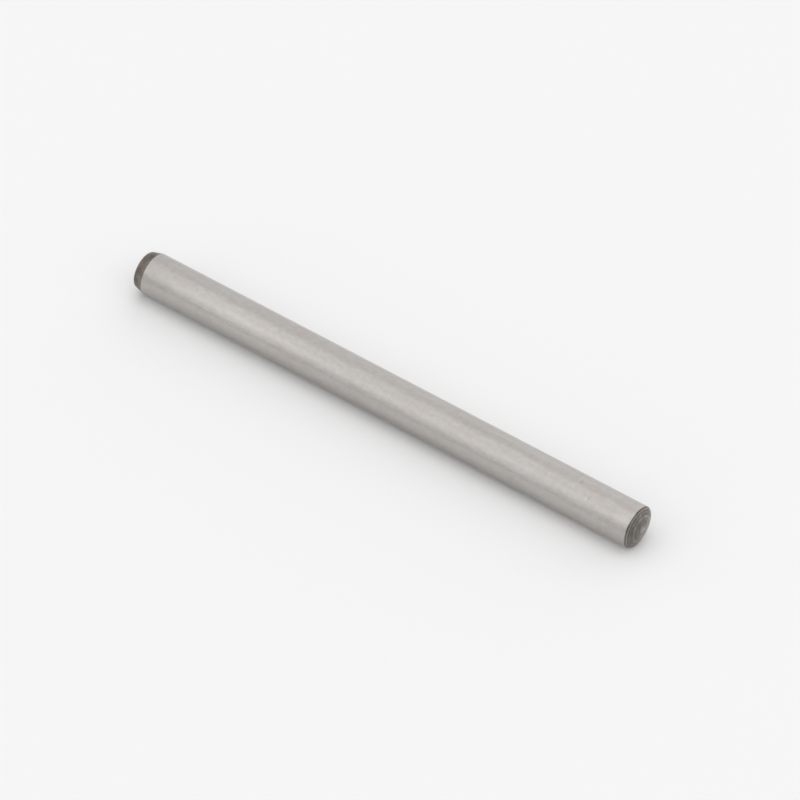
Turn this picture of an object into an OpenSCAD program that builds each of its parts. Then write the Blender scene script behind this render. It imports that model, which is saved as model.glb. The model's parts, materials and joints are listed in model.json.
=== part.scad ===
// Brake hub pin: a hardened steel dowel with a ground shank, which locates a hub on its brake.
// One solid of revolution about X, with the middle of its overall length at the origin.
// The lead-in end faces -X and the plain end faces +X.

/* [Shank] */
// Diameter of the ground shank
shank_d = 6; // [3:0.5:12]
// Length of the pin between the rims of its two crowns
pin_length = 80; // [20:1:160]

/* [Lead-in end] */
// Length of the lead-in taper along the axis
lead_length = 1.45; // [0.5:0.05:3]
// Angle between the lead-in taper and the axis
lead_angle = 15; // [5:1:20]
// Height of the crown above its rim
lead_crown_height = 0.6; // [0.2:0.02:1]

/* [Plain end] */
// Length of the edge break along the axis
edge_length = 0.19; // [0.05:0.01:0.6]
// Depth of the edge break below the ground surface
edge_depth = 0.13; // [0.05:0.01:0.5]
// Height of the crown above its rim
plain_crown_height = 0.64; // [0.2:0.02:1]

/* [Hidden] */

$fn = 96;

ground_steel = [0.74, 0.72, 0.69];

// Radii of the shank, and of the rims where the tapers meet the crowns
shank_r = shank_d / 2;
lead_rim_r = shank_r - lead_length * tan(lead_angle);
plain_rim_r = shank_r - edge_depth;

// Radius of the ball that passes through a rim and stands a given height above it
function crown_ball_r(rim_r, height) = (rim_r * rim_r + height * height) / (2 * height);
lead_ball_r = crown_ball_r(lead_rim_r, lead_crown_height);
plain_ball_r = crown_ball_r(plain_rim_r, plain_crown_height);

// Stations along the axis, from the tip of the lead-in end to the tip of the plain end
plain_tip_x = (lead_crown_height + pin_length + plain_crown_height) / 2;
lead_tip_x = -plain_tip_x;
ground_start_x = lead_tip_x + lead_crown_height + lead_length;
ground_end_x = plain_tip_x - plain_crown_height - edge_length;

// Stations where the two tapers would come to a point
lead_apex_x = ground_start_x - shank_r / tan(lead_angle);
plain_apex_x = ground_end_x + shank_r * edge_length / edge_depth;

// Half-section of the blank: the ground shank, with each end tapered to a point
module blank_section() {
    polygon([
        [0, lead_apex_x],
        [shank_r, ground_start_x],
        [shank_r, ground_end_x],
        [0, plain_apex_x],
    ]);
}

// Half-section of the space between the two crowns, wider than the blank
module crowned_space_section() {
    lead_ball_x = lead_tip_x + lead_ball_r;
    plain_ball_x = plain_tip_x - plain_ball_r;
    translate([0, lead_ball_x]) circle(r = lead_ball_r);
    translate([0, plain_ball_x]) circle(r = plain_ball_r);
    translate([0, lead_ball_x]) square([shank_d, plain_ball_x - lead_ball_x]);
}

// The whole pin, revolved in one piece, with its pointed ends cut back to crowns
module pin() {
    color(ground_steel)
    rotate([0, 90, 0])
    rotate_extrude()
    intersection() {
        blank_section();
        crowned_space_section();
    }
}

pin();
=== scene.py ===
"""Brake hub pin: a ground steel dowel with dark, unground ends, lying on a pale floor in soft light."""
import json
import math

import bpy
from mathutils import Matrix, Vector


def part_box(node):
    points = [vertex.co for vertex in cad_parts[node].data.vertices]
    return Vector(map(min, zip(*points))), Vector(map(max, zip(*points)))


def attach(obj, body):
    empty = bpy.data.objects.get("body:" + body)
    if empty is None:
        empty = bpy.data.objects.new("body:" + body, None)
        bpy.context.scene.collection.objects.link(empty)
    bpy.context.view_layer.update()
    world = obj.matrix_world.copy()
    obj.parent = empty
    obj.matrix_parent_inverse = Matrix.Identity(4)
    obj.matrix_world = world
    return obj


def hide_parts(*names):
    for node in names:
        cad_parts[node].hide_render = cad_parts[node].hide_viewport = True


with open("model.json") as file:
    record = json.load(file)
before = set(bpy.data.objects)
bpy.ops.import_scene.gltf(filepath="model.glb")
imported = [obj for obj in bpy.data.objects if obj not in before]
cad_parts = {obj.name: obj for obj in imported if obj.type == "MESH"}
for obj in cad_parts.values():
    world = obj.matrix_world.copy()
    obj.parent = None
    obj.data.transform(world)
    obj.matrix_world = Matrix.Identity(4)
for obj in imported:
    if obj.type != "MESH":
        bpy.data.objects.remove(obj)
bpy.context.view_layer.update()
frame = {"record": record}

# Sizes in metres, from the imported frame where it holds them
MM = 0.001
SHANK_MOUNT = next(m for m in frame["record"]["mounts"] if m["name"] == "shank")
SHANK_RADIUS = SHANK_MOUNT["dims"]["r_mm"] * MM
GROUND_LENGTH = SHANK_MOUNT["dims"]["length_mm"] * MM
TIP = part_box("pin")[1].x

# Lead-in end, at -X
LEAD_TAPER_LENGTH = 1.45 * MM
LEAD_TAPER_ANGLE = math.radians(15)
LEAD_CROWN_HEIGHT = 0.6 * MM
LEAD_RIM_RADIUS = SHANK_RADIUS - LEAD_TAPER_LENGTH * math.tan(LEAD_TAPER_ANGLE)
LEAD_EDGE = TIP - LEAD_CROWN_HEIGHT - LEAD_TAPER_LENGTH

# Plain end, at +X
EDGE_BREAK_DEPTH = 0.13 * MM
PLAIN_CROWN_HEIGHT = 0.64 * MM
PLAIN_RIM_RADIUS = SHANK_RADIUS - EDGE_BREAK_DEPTH
PLAIN_EDGE = GROUND_LENGTH - LEAD_EDGE

# How finely the pin is turned
SIDES = 192
ARC_POINTS = 256
PROFILE_STEP = 0.02 * MM
EDGE_SOFTENING = 5
LAND = 0.25 * MM
WELD = 0.0001 * MM

# Rings left by the turning tool on the ends: radius and width as shares of the shank radius, and height
PLAIN_RINGS = [
    (0.905, 0.016, -0.016 * MM),
    (0.850, 0.020, 0.012 * MM),
    (0.785, 0.020, -0.014 * MM),
    (0.700, 0.030, -0.020 * MM),
    (0.615, 0.026, 0.024 * MM),
    (0.510, 0.030, -0.012 * MM),
    (0.400, 0.024, 0.014 * MM),
    (0.280, 0.030, -0.014 * MM),
    (0.000, 0.110, 0.014 * MM),
]
LEAD_RINGS = [
    (0.700, 0.030, -0.014 * MM),
    (0.480, 0.030, 0.012 * MM),
    (0.300, 0.030, -0.012 * MM),
    (0.000, 0.110, 0.012 * MM),
]
TURNING_PITCH = 0.15 * MM
TURNING_DEPTH = 0.002 * MM
# The rings fade out between these shares of the rim's radius
RINGS_FULL = 0.96
RINGS_GONE = 0.99


class Wire:
    """An output socket whose arithmetic adds Math nodes to its tree."""

    def __init__(self, socket):
        self.socket = socket
        self.tree = socket.id_data

    def math(self, operation, *others):
        return add(self.tree, "ShaderNodeMath", {"operation": operation}, self, *others)

    def __add__(self, other):
        return self.math("ADD", other)

    def __radd__(self, other):
        return self.math("ADD", other)

    def __sub__(self, other):
        return self.math("SUBTRACT", other)

    def __rsub__(self, other):
        return add(self.tree, "ShaderNodeMath", {"operation": "SUBTRACT"}, other, self)

    def __mul__(self, other):
        return self.math("MULTIPLY", other)

    def __rmul__(self, other):
        return self.math("MULTIPLY", other)

    def __truediv__(self, other):
        return self.math("DIVIDE", other)

    def __pow__(self, other):
        return self.math("POWER", other)

    def __neg__(self):
        return self.math("MULTIPLY", -1.0)


def plug(tree, socket, value):
    """Links a Wire to a socket, or sets the socket's own value."""
    if isinstance(value, Wire):
        tree.links.new(value.socket, socket)
    else:
        socket.default_value = value


def add(tree, kind, settings=None, *values, out=None, **named):
    """Adds a node, sets its settings, then its sockets by order or name; returns one output as a Wire."""
    node = tree.nodes.new(kind)
    for key, setting in (settings or {}).items():
        setattr(node, key, setting)
    for socket, value in zip([s for s in node.inputs if s.enabled], values):
        plug(tree, socket, value)
    for key, value in named.items():
        wanted = key.replace("_", " ")
        socket = next(s for s in node.inputs if s.enabled and s.name == wanted)
        plug(tree, socket, value)
    outputs = [s for s in node.outputs if s.enabled]
    if not outputs:
        return node
    return Wire(next(s for s in outputs if out in (None, s.name)))


def split(tree, vector):
    """The x, y and z of a vector, as three Wires."""
    node = add(tree, "ShaderNodeSeparateXYZ", None, vector).socket.node
    return [Wire(node.outputs[axis]) for axis in "XYZ"]


def smooth_step(tree, value, start, end):
    """0 up to start, 1 from end on, and a smooth rise between them; start may be the larger."""
    return add(
        tree, "ShaderNodeMapRange", {"interpolation_type": "SMOOTHSTEP"},
        Value=value, From_Min=start, From_Max=end, To_Min=0.0, To_Max=1.0,
    )


def bell(distance, reach):
    """1 at no distance, falling smoothly to nothing past the reach."""
    share = distance / reach
    return (share * share * -1.0).math("EXPONENT")


def new_geometry_tree(name, **inputs):
    """A geometry tree with the named inputs and one Geometry output, and its inputs as Wires."""
    tree = bpy.data.node_groups.new(name, "GeometryNodeTree")
    for key, kind in inputs.items():
        tree.interface.new_socket(name=key.replace("_", " "), in_out="INPUT", socket_type=kind)
    tree.interface.new_socket(name="Geometry", in_out="OUTPUT", socket_type="NodeSocketGeometry")
    source = tree.nodes.new("NodeGroupInput")
    wires = {key: Wire(source.outputs[key.replace("_", " ")]) for key in inputs}
    return tree, wires


def finish_geometry_tree(tree, geometry):
    """Sends a geometry to the tree's output."""
    sink = tree.nodes.new("NodeGroupOutput")
    plug(tree, sink.inputs["Geometry"], geometry)
    return tree


def join(tree, *pieces):
    """Several geometries as one."""
    node = tree.nodes.new("GeometryNodeJoinGeometry")
    for piece in pieces:
        plug(tree, node.inputs["Geometry"], piece)
    return Wire(node.outputs["Geometry"])


def point(tree, along, radius):
    """A point of the half-section: along the axis and away from it."""
    return add(tree, "ShaderNodeCombineXYZ", None, along, radius, 0.0)


def revolve_tree():
    """Turns a half-section about X: a grid with one row for each point of it, closed round the axis."""
    tree, given = new_geometry_tree("revolved", Section="NodeSocketGeometry", Sides="NodeSocketInt")
    section, sides = given["Section"], given["Sides"]
    rows = add(tree, "GeometryNodeAttributeDomainSize", {"component": "CURVE"}, section, out="Point Count")
    columns = sides + 1.0
    grid = add(tree, "GeometryNodeMeshGrid", None, 1.0, 1.0, rows, columns, out="Mesh")
    index = add(tree, "GeometryNodeInputIndex")
    column = index.math("FLOORED_MODULO", columns)
    row = (index - column) / columns
    on_section = add(
        tree, "GeometryNodeSampleIndex", {"data_type": "FLOAT_VECTOR", "domain": "POINT"},
        Geometry=section, Value=add(tree, "GeometryNodeInputPosition"), Index=row.math("ROUND"),
    )
    along, radius, _ = split(tree, on_section)
    turn = column * (2 * math.pi) / sides
    place = add(
        tree, "ShaderNodeCombineXYZ", None,
        along, radius * turn.math("COSINE"), radius * turn.math("SINE"),
    )
    turned = add(tree, "GeometryNodeSetPosition", None, Geometry=grid, Position=place)
    welded = add(tree, "GeometryNodeMergeByDistance", None, Geometry=turned, Distance=WELD)
    return finish_geometry_tree(tree, welded)


def end_section(tree, tip, crown_height, rim_radius, edge, shank_radius, rings):
    """Half-section of an end that faces +X: crown, taper and land, with softened corners and rings."""
    ball = (rim_radius * rim_radius + crown_height * crown_height) / (crown_height * 2.0)
    rim = point(tree, tip - crown_height, rim_radius)
    corner = point(tree, edge, shank_radius)
    land = point(tree, edge - LAND, shank_radius)
    arc = add(
        tree, "GeometryNodeCurveArc", {"mode": "RADIUS"},
        Resolution=ARC_POINTS, Radius=ball, Start_Angle=0.0,
        Sweep_Angle=(rim_radius / ball).math("ARCSINE"), out="Curve",
    )
    crown = add(tree, "GeometryNodeTransform", None, Geometry=arc, Translation=point(tree, tip - ball, 0.0))
    taper = add(tree, "GeometryNodeCurvePrimitiveLine", None, Start=rim, End=corner)
    seat = add(tree, "GeometryNodeCurvePrimitiveLine", None, Start=corner, End=land)
    edges = add(tree, "GeometryNodeCurveToMesh", None, Curve=join(tree, seat, taper, crown))
    chain = add(tree, "GeometryNodeMergeByDistance", None, Geometry=edges, Distance=WELD)
    outline = add(tree, "GeometryNodeMeshToCurve", None, Mesh=chain)
    even = add(tree, "GeometryNodeResampleCurve", {"mode": "LENGTH"}, Curve=outline, Length=PROFILE_STEP)
    position = add(tree, "GeometryNodeInputPosition")
    soft = add(
        tree, "GeometryNodeBlurAttribute", {"data_type": "FLOAT_VECTOR"},
        Value=position, Iterations=EDGE_SOFTENING,
    )
    endpoint = add(tree, "GeometryNodeCurveEndpointSelection", None, Start_Size=1, End_Size=1)
    rounded = add(
        tree, "GeometryNodeSetPosition", None,
        Geometry=even, Selection=1.0 - endpoint, Position=soft,
    )
    radius = split(tree, position)[1]
    height = (radius * (2 * math.pi / TURNING_PITCH)).math("SINE") * TURNING_DEPTH
    for ring_radius, ring_width, ring_height in rings:
        height = height + bell(radius - shank_radius * ring_radius, shank_radius * ring_width) * ring_height
    on_crown = smooth_step(tree, radius / rim_radius, RINGS_GONE, RINGS_FULL)
    return add(
        tree, "GeometryNodeSetPosition", None,
        Geometry=rounded, Offset=point(tree, height * on_crown, 0.0),
    )


def pin_tree(ground_shank, hardened_skin):
    """The whole pin: two turned ends and the ground shank between them, welded into one skin."""
    tree, given = new_geometry_tree(
        "turned_pin",
        Tip="NodeSocketFloat", Shank_Radius="NodeSocketFloat", Sides="NodeSocketInt",
        Lead_Crown_Height="NodeSocketFloat", Lead_Rim_Radius="NodeSocketFloat",
        Lead_Edge="NodeSocketFloat",
        Plain_Crown_Height="NodeSocketFloat", Plain_Rim_Radius="NodeSocketFloat",
        Plain_Edge="NodeSocketFloat",
    )
    tip, shank_radius = given["Tip"], given["Shank_Radius"]
    revolved = revolve_tree()

    def turn_section(section):
        return add(tree, "GeometryNodeGroup", {"node_tree": revolved}, section, given["Sides"])

    plain_end = turn_section(end_section(
        tree, tip, given["Plain_Crown_Height"], given["Plain_Rim_Radius"], given["Plain_Edge"],
        shank_radius, PLAIN_RINGS,
    ))
    lead_end = turn_section(end_section(
        tree, tip, given["Lead_Crown_Height"], given["Lead_Rim_Radius"], given["Lead_Edge"],
        shank_radius, LEAD_RINGS,
    ))
    lead_end = add(tree, "GeometryNodeTransform", None, Geometry=lead_end, Rotation=(0.0, 0.0, math.pi))
    shank = turn_section(add(
        tree, "GeometryNodeCurvePrimitiveLine", None,
        Start=point(tree, given["Plain_Edge"] - LAND, shank_radius),
        End=point(tree, LAND - given["Lead_Edge"], shank_radius),
    ))
    whole = add(
        tree, "GeometryNodeMergeByDistance", None,
        Geometry=join(tree, plain_end, shank, lead_end), Distance=WELD,
    )
    smooth = add(tree, "GeometryNodeSetShadeSmooth", None, Geometry=whole)
    real = add(tree, "GeometryNodeRealizeInstances", None, Geometry=smooth)
    along = split(tree, add(tree, "GeometryNodeInputPosition"))[0]
    past_plain = along.math("GREATER_THAN", given["Plain_Edge"])
    past_lead = along.math("LESS_THAN", -given["Lead_Edge"])
    dressed = add(tree, "GeometryNodeSetMaterial", None, Geometry=real, Material=ground_shank)
    dressed = add(
        tree, "GeometryNodeSetMaterial", None,
        Geometry=dressed, Selection=past_plain + past_lead, Material=hardened_skin,
    )
    return finish_geometry_tree(tree, dressed)


def plain_mesh_from(name, tree, **sizes):
    """Runs a geometry tree on an empty object and keeps the result as a plain mesh object."""
    piece = bpy.data.objects.new(name, bpy.data.meshes.new(name))
    bpy.context.scene.collection.objects.link(piece)
    modifier = piece.modifiers.new("shape", "NODES")
    modifier.node_group = tree
    identifiers = {s.name: s.identifier for s in tree.interface.items_tree if s.in_out == "INPUT"}
    for key, value in sizes.items():
        modifier[identifiers[key.replace("_", " ")]] = value
    graph = bpy.context.evaluated_depsgraph_get()
    mesh = bpy.data.meshes.new_from_object(piece.evaluated_get(graph))
    piece.modifiers.remove(modifier)
    piece.data = mesh
    mesh.name = name
    for slot in reversed(range(len(mesh.materials))):
        if mesh.materials[slot] is None:
            mesh.materials.pop(index=slot)
    return piece


def new_material(name):
    """An empty node material and its tree."""
    material = bpy.data.materials.new(name)
    material.use_nodes = True
    material.node_tree.nodes.clear()
    return material, material.node_tree


def grain(tree, place, length, width, detail):
    """Noise from about -1 to 1, with grains of one length along the pin and one width across it."""
    stretch = (1 / length, 1 / width, 1 / width)
    scaled = add(tree, "ShaderNodeVectorMath", {"operation": "MULTIPLY"}, place, stretch)
    return noise(tree, scaled, detail)


def noise(tree, place, detail):
    """Noise from about -1 to 1."""
    value = add(tree, "ShaderNodeTexNoise", None, Vector=place, Scale=1.0, Detail=detail, out="Fac")
    return value * 2.0 - 1.0


def mix(tree, share, first, second, blend="MIX"):
    """Two colours mixed by a share."""
    settings = {"data_type": "RGBA", "blend_type": blend}
    return add(tree, "ShaderNodeMix", settings, Factor=share, A=first, B=second)


# Noise values between these two turn into shares from 0 to 1
GRAIN_RANGE = (-0.6, 0.6)

# Ground shank
GROUND_WARM = (0.469, 0.437, 0.412, 1.0)
GROUND_COOL = (0.451, 0.438, 0.420, 1.0)
GROUND_ROUGHNESS = 0.230
ROUGHNESS_SPREAD = 0.03
LINE_TONE = 0.07
MOTTLE_TONE = 0.105
CLOUD_TONE = 0.06
SCUFF_TONE = -0.04
GRAIN_DEPTH = 0.020 * MM
MOTTLE_DEPTH_SHARE = 0.5
CLOUD_RANGE = (-0.5, 0.5)
SCUFF_RANGE = (0.25, 0.60)
# Its grains: length along the pin, width across it and detail
LINE_GRAIN = (0.12 * MM, 5.0 * MM, 3.0)
MOTTLE_GRAIN = (0.8 * MM, 0.45 * MM, 3.0)
RIPPLE_GRAIN = (1.7 * MM, 0.50 * MM, 3.0)
CLOUD_GRAIN = (5.0 * MM, 1.6 * MM, 2.0)
SCUFF_GRAIN = (3.0 * MM, 0.12 * MM, 2.0)
# Marks on it, some of them painted shade and highlights: place along the pin, angle from the top towards -Y,
# half length, half width, change of tone
SHANK_MARKS_AND_PAINTED_LIGHT = [
    # painted shade: the lower flank darker along the whole length
    (0.0, math.radians(106), 45.0 * MM, 0.90 * MM, -0.220),
    # painted highlight: a brighter patch over the highlight band
    (-22.0 * MM, math.radians(46), 8.50 * MM, 1.30 * MM, 0.100),
    # painted shade: the highlight dimmed next to the lead-in taper
    (-37.5 * MM, math.radians(42), 3.00 * MM, 1.10 * MM, -0.090),
    # painted shade: the upper edge darker next to the lead-in end
    (-37.0 * MM, math.radians(-26), 2.00 * MM, 0.60 * MM, -0.050),
    (15.0 * MM, math.radians(2), 3.50 * MM, 0.60 * MM, -0.065),
    # painted highlight: the highlight brighter next to the plain end
    (38.6 * MM, math.radians(36), 1.20 * MM, 0.55 * MM, 0.075),
    (31.05 * MM, math.radians(0), 0.18 * MM, 0.28 * MM, -0.120),
    # a small dent: its shaded and lit sides painted as a dark and a bright mark
    (33.2 * MM, math.radians(33), 0.16 * MM, 0.35 * MM, -0.120),
    (32.9 * MM, math.radians(34), 0.16 * MM, 0.30 * MM, 0.080),
    (-34.2 * MM, math.radians(19), 0.22 * MM, 0.25 * MM, -0.100),
    (-28.8 * MM, math.radians(60), 0.25 * MM, 0.20 * MM, -0.090),
    (-16.9 * MM, math.radians(18), 0.20 * MM, 0.22 * MM, -0.080),
    (23.1 * MM, math.radians(0), 0.25 * MM, 0.25 * MM, -0.080),
]


def ground_shank_material():
    """Satin ground steel: fine lines round the shank, faint mottling, light scuffs, a few small marks, and
    painted shade and highlights: a darker lower flank and brighter and dimmer patches along the highlight.
    """
    material, tree = new_material("ground_shank")
    place = add(tree, "ShaderNodeTexCoord", None, out="Object")
    along, across, height = split(tree, place)
    angle = (across * -1.0).math("ARCTAN2", height)
    lines = grain(tree, place, *LINE_GRAIN)
    mottle = grain(tree, place, *MOTTLE_GRAIN)
    ripple = grain(tree, place, *RIPPLE_GRAIN)
    cloud = grain(tree, place, *CLOUD_GRAIN)
    scuffs = smooth_step(tree, grain(tree, place, *SCUFF_GRAIN), *SCUFF_RANGE)
    tone = 1.0 + lines * LINE_TONE + mottle * MOTTLE_TONE + cloud * CLOUD_TONE + scuffs * SCUFF_TONE
    # The marks include painted shade on the lower flank and painted highlights and shade along the highlight
    # band
    for mark_along, mark_angle, half_length, half_width, change in SHANK_MARKS_AND_PAINTED_LIGHT:
        near = bell(along - mark_along, half_length) * bell((angle - mark_angle) * SHANK_RADIUS, half_width)
        tone = tone + near * change
    colour = mix(tree, smooth_step(tree, cloud, *CLOUD_RANGE), GROUND_WARM, GROUND_COOL)
    roughness = GROUND_ROUGHNESS + smooth_step(tree, lines + mottle, *GRAIN_RANGE) * ROUGHNESS_SPREAD
    bump = add(
        tree, "ShaderNodeBump", None,
        Strength=1.0, Distance=GRAIN_DEPTH, Height=ripple + mottle * MOTTLE_DEPTH_SHARE,
    )
    shader = add(
        tree, "ShaderNodeBsdfPrincipled", None,
        Base_Color=mix(tree, 1.0, colour, tone, "MULTIPLY"),
        Metallic=1.0, Roughness=roughness, Normal=bump,
    )
    add(tree, "ShaderNodeOutputMaterial", None, shader)
    return material


# Skin left by hardening
SKIN_DARK = (0.092, 0.080, 0.069, 1.0)
SKIN_LIGHT = (0.262, 0.242, 0.221, 1.0)
SKIN_BROWN = (0.178, 0.138, 0.110, 1.0)
SKIN_WORN = (0.350, 0.322, 0.298, 1.0)
SKIN_ROUGHNESS = 0.235
TAPER_ROUGHNESS = 0.40
TAPER_TONE = 0.14
SKIN_DEPTH = 0.003 * MM
RING_DEPTH_SHARE = 0.6
# Its grains: length along the pin, width across it and detail
PATCH_GRAIN = (0.9 * MM, 0.9 * MM, 3.0)
STAIN_GRAIN = (1.3 * MM, 1.3 * MM, 2.0)
SPECKLE_GRAIN = (0.22 * MM, 0.22 * MM, 2.0)
# Fine rings of tone: how far apart they are, how far round they run and their detail
FINE_RING_PITCH = 0.16 * MM
FINE_RING_RUN = 4.0 * MM
FINE_RING_DETAIL = 2.0
# How much each of these has to say in where the skin is light
FINE_RING_SHARE = 0.6
PATCH_SHARE = 0.5
SPECKLE_SHARE = 0.6
# How brown the skin is at most, in its own stains and in the placed ones
STAIN_RANGE = (0.0, 0.4)
STAIN_BROWN = 0.5
PLACED_STAIN_BROWN = 0.7
# The worn spot at the centre of each end: where it starts to fade, where it is gone and how worn it is
CENTRE_SPOT_FULL = 0.27 * MM
CENTRE_SPOT_GONE = 0.63 * MM
CENTRE_SPOT_WEAR = 0.8
# Light and dark rings painted on the plain end, painted reflections and shade of its turned rings, the outer
# dark one the shade of the edge break: radius and half width as shares of the shank radius, and change of
# tone
PAINTED_RING_LIGHT_AND_SHADE = [
    (0.980, 0.022, -0.22),
    (0.920, 0.022, 0.75),
    (0.865, 0.028, -0.30),
    (0.785, 0.020, 0.10),
    (0.700, 0.030, -0.30),
    (0.610, 0.040, 0.34),
    (0.460, 0.040, -0.22),
]
# Patches of tone on the skin, those on the plain end painted shade and reflections (darker towards -Y,
# lighter low towards +Y and on top): where each is centred, how far it reaches and its change of tone
SKIN_PATCHES_AND_PAINTED_LIGHT = [
    # plain end: painted shade, then painted reflections
    (Vector((40.3, -2.2, 0.9)) * MM, 1.0 * MM, -0.20),
    (Vector((40.3, 1.3, -1.7)) * MM, 1.5 * MM, 0.65),
    (Vector((40.2, 0.3, 2.7)) * MM, 0.9 * MM, 0.40),
    # lead-in taper: a lighter and a darker patch
    (Vector((-39.4, -1.2, 2.5)) * MM, 1.5 * MM, 0.20),
    (Vector((-39.4, -2.8, -0.3)) * MM, 1.2 * MM, -0.30),
]
# Brown stains on the lead-in taper: where each is centred and how far it reaches
BROWN_STAINS = [
    (Vector((-39.55, -0.9, 2.6)) * MM, 0.55 * MM),
    (Vector((-39.67, -2.5, 1.0)) * MM, 0.45 * MM),
]


def hardened_skin_material():
    """Dark skin left by hardening on the faces that weren't ground, with turned rings and brown patches, and
    painted light and shade on the plain end: light and dark rings and patches.
    """
    material, tree = new_material("hardened_skin")
    place = add(tree, "ShaderNodeTexCoord", None, out="Object")
    along, across, height = split(tree, place)
    radius = (across * across + height * height).math("SQRT")
    ring_place = add(
        tree, "ShaderNodeCombineXYZ", None,
        radius / FINE_RING_PITCH, across / FINE_RING_RUN, height / FINE_RING_RUN,
    )

    def near(centre, reach):
        settings = {"operation": "DISTANCE"}
        return bell(add(tree, "ShaderNodeVectorMath", settings, place, centre, out="Value"), reach)

    rings = noise(tree, ring_place, FINE_RING_DETAIL)
    patches = grain(tree, place, *PATCH_GRAIN)
    stain = grain(tree, place, *STAIN_GRAIN)
    speckle = grain(tree, place, *SPECKLE_GRAIN)
    lightness = rings * FINE_RING_SHARE + patches * PATCH_SHARE + speckle * SPECKLE_SHARE
    light_share = smooth_step(tree, lightness, *GRAIN_RANGE)
    colour = mix(tree, light_share, SKIN_DARK, SKIN_LIGHT)
    brown_share = smooth_step(tree, stain, *STAIN_RANGE) * STAIN_BROWN
    for centre, reach in BROWN_STAINS:
        brown_share = brown_share + near(centre, reach) * PLACED_STAIN_BROWN
    colour = mix(tree, brown_share.math("MINIMUM", 1.0), colour, SKIN_BROWN)
    spot = smooth_step(tree, radius, CENTRE_SPOT_GONE, CENTRE_SPOT_FULL)
    colour = mix(tree, spot * CENTRE_SPOT_WEAR, colour, SKIN_WORN)
    at_plain_end = smooth_step(tree, along, 0.0, PLAIN_EDGE)
    painted_ring_light = 0.0
    for ring_radius, half_width, change in PAINTED_RING_LIGHT_AND_SHADE:
        painted_ring_light = painted_ring_light + bell(radius / SHANK_RADIUS - ring_radius, half_width) * change
    # Painted ring light and shade on the plain end; the lead-in taper lifted in tone
    tone = 1.0 + painted_ring_light * at_plain_end * (1.0 + patches) + (1.0 - at_plain_end) * TAPER_TONE
    # On the plain end these patches paint shade and reflections
    for centre, reach, change in SKIN_PATCHES_AND_PAINTED_LIGHT:
        tone = tone + near(centre, reach) * change
    base_roughness = TAPER_ROUGHNESS + at_plain_end * (SKIN_ROUGHNESS - TAPER_ROUGHNESS)
    roughness = base_roughness + smooth_step(tree, patches + rings, *GRAIN_RANGE) * ROUGHNESS_SPREAD
    bump = add(
        tree, "ShaderNodeBump", None,
        Strength=1.0, Distance=SKIN_DEPTH, Height=speckle + rings * RING_DEPTH_SHARE,
    )
    shader = add(
        tree, "ShaderNodeBsdfPrincipled", None,
        Base_Color=mix(tree, 1.0, colour, tone, "MULTIPLY"),
        Metallic=1.0, Roughness=roughness, Normal=bump,
    )
    add(tree, "ShaderNodeOutputMaterial", None, shader)
    return material


# The photograph's view
VIEW_AZIMUTH = math.radians(36.32)
VIEW_ELEVATION = math.radians(45.44)
VIEW_DISTANCE = 887.3 * MM
VIEW_AIM = Vector((2.01 * MM, 0.0, 0.54 * MM))
LENS_MM = 305.84
SENSOR_MM = 36.0
NEAREST_SEEN = 0.01
FARTHEST_SEEN = 20.0
TOWARDS_CAMERA = Vector((
    math.sin(VIEW_AZIMUTH) * math.cos(VIEW_ELEVATION),
    -math.cos(VIEW_AZIMUTH) * math.cos(VIEW_ELEVATION),
    math.sin(VIEW_ELEVATION),
))

# Light tent: the direction that each soft light comes from, its sharpness and its strength
TENT_LIGHTS = {
    "back": ((0.0, 1.0, 0.1), 6.0, 1.2),
    "back_top": ((-0.2, 0.7, 0.7), 16.0, 0.5),
    "top": ((0.1, 0.0, 1.0), 40.0, 1.8),
    "left_low": ((-1.0, -0.1, 0.2), 16.0, 0.6),
    "left_top": ((-0.45, 0.05, 0.85), 16.0, 0.9),
    "key": ((-0.4, -0.55, 0.7), 24.0, 0.93),
    "front": ((0.0, -1.0, 0.1), 6.0, 0.75),
    "front_low": ((-0.45, -0.9, 0.3), 30.0, 0.3),
    "right_low": ((1.0, 0.0, 0.2), 16.0, 0.6),
    "right_top": ((0.7, 0.1, 0.7), 20.0, 0.8),
    "right_front": ((0.5, -0.5, 0.7), 40.0, 1.5),
}


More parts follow.
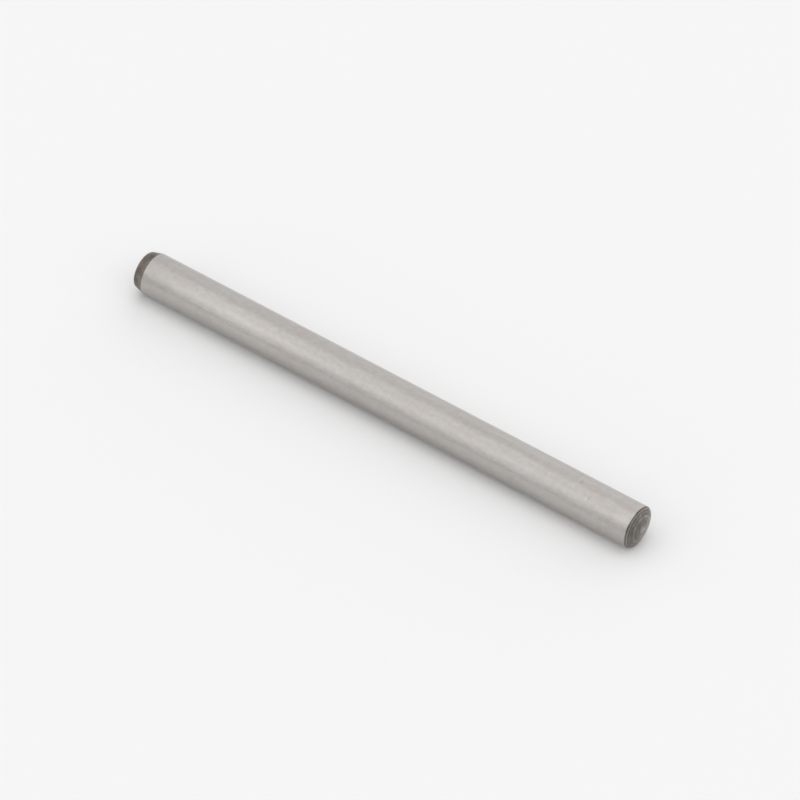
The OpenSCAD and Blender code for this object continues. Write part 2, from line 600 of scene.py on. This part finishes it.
def light_tent():
    """The world: a white tent, brighter in some directions than in others."""
    world = bpy.data.worlds.new("light_tent")
    world.use_nodes = True
    tree = world.node_tree
    tree.nodes.clear()
    direction = add(tree, "ShaderNodeTexCoord", None, out="Generated")

    def glow(axis, sharpness):
        facing = add(
            tree, "ShaderNodeVectorMath", {"operation": "DOT_PRODUCT"},
            direction, Vector(axis).normalized(), out="Value",
        )
        return (facing * 0.5 + 0.5).math("MAXIMUM", 0.0) ** sharpness

    light = sum(glow(axis, sharpness) * strength for axis, sharpness, strength in TENT_LIGHTS.values())
    background = add(tree, "ShaderNodeBackground", None, Color=(1.0, 1.0, 1.0, 1.0), Strength=light)
    add(tree, "ShaderNodeOutputWorld", None, background)
    bpy.context.scene.world = world


# Floor
FLOOR_SIZE = 6.0
FLOOR_COLOUR = (0.90, 0.90, 0.90, 1.0)
FLOOR_ROUGHNESS = 0.9


def pale_floor():
    """A plain pale floor just under the pin."""
    half = FLOOR_SIZE / 2
    corners = [(-half, -half), (half, -half), (half, half), (-half, half)]
    mesh = bpy.data.meshes.new("floor")
    mesh.from_pydata([(x, y, -SHANK_RADIUS) for x, y in corners], [], [(0, 1, 2, 3)])
    floor = bpy.data.objects.new("floor", mesh)
    bpy.context.scene.collection.objects.link(floor)
    material, tree = new_material("pale_floor")
    shader = add(
        tree, "ShaderNodeBsdfPrincipled", None,
        Base_Color=FLOOR_COLOUR, Roughness=FLOOR_ROUGHNESS, Specular_IOR_Level=0.0,
    )
    add(tree, "ShaderNodeOutputMaterial", None, shader)
    mesh.materials.append(material)


def photo_camera():
    """The camera, at the photograph's angle and distance."""
    camera = bpy.data.objects.new("camera", bpy.data.cameras.new("camera"))
    camera.data.sensor_width = SENSOR_MM
    camera.data.lens = LENS_MM
    camera.data.clip_start = NEAREST_SEEN
    camera.data.clip_end = FARTHEST_SEEN
    camera.location = VIEW_AIM + TOWARDS_CAMERA * VIEW_DISTANCE
    camera.rotation_euler = (-TOWARDS_CAMERA).to_track_quat("-Z", "Y").to_euler()
    bpy.context.scene.collection.objects.link(camera)
    bpy.context.scene.camera = camera


bpy.context.scene.view_settings.view_transform = "Standard"
photo_camera()
light_tent()
pale_floor()

pin = plain_mesh_from(
    "hub_pin",
    pin_tree(ground_shank_material(), hardened_skin_material()),
    Tip=TIP, Shank_Radius=SHANK_RADIUS, Sides=SIDES,
    Lead_Crown_Height=LEAD_CROWN_HEIGHT, Lead_Rim_Radius=LEAD_RIM_RADIUS, Lead_Edge=LEAD_EDGE,
    Plain_Crown_Height=PLAIN_CROWN_HEIGHT, Plain_Rim_Radius=PLAIN_RIM_RADIUS, Plain_Edge=PLAIN_EDGE,
)
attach(pin, "root")
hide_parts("pin")
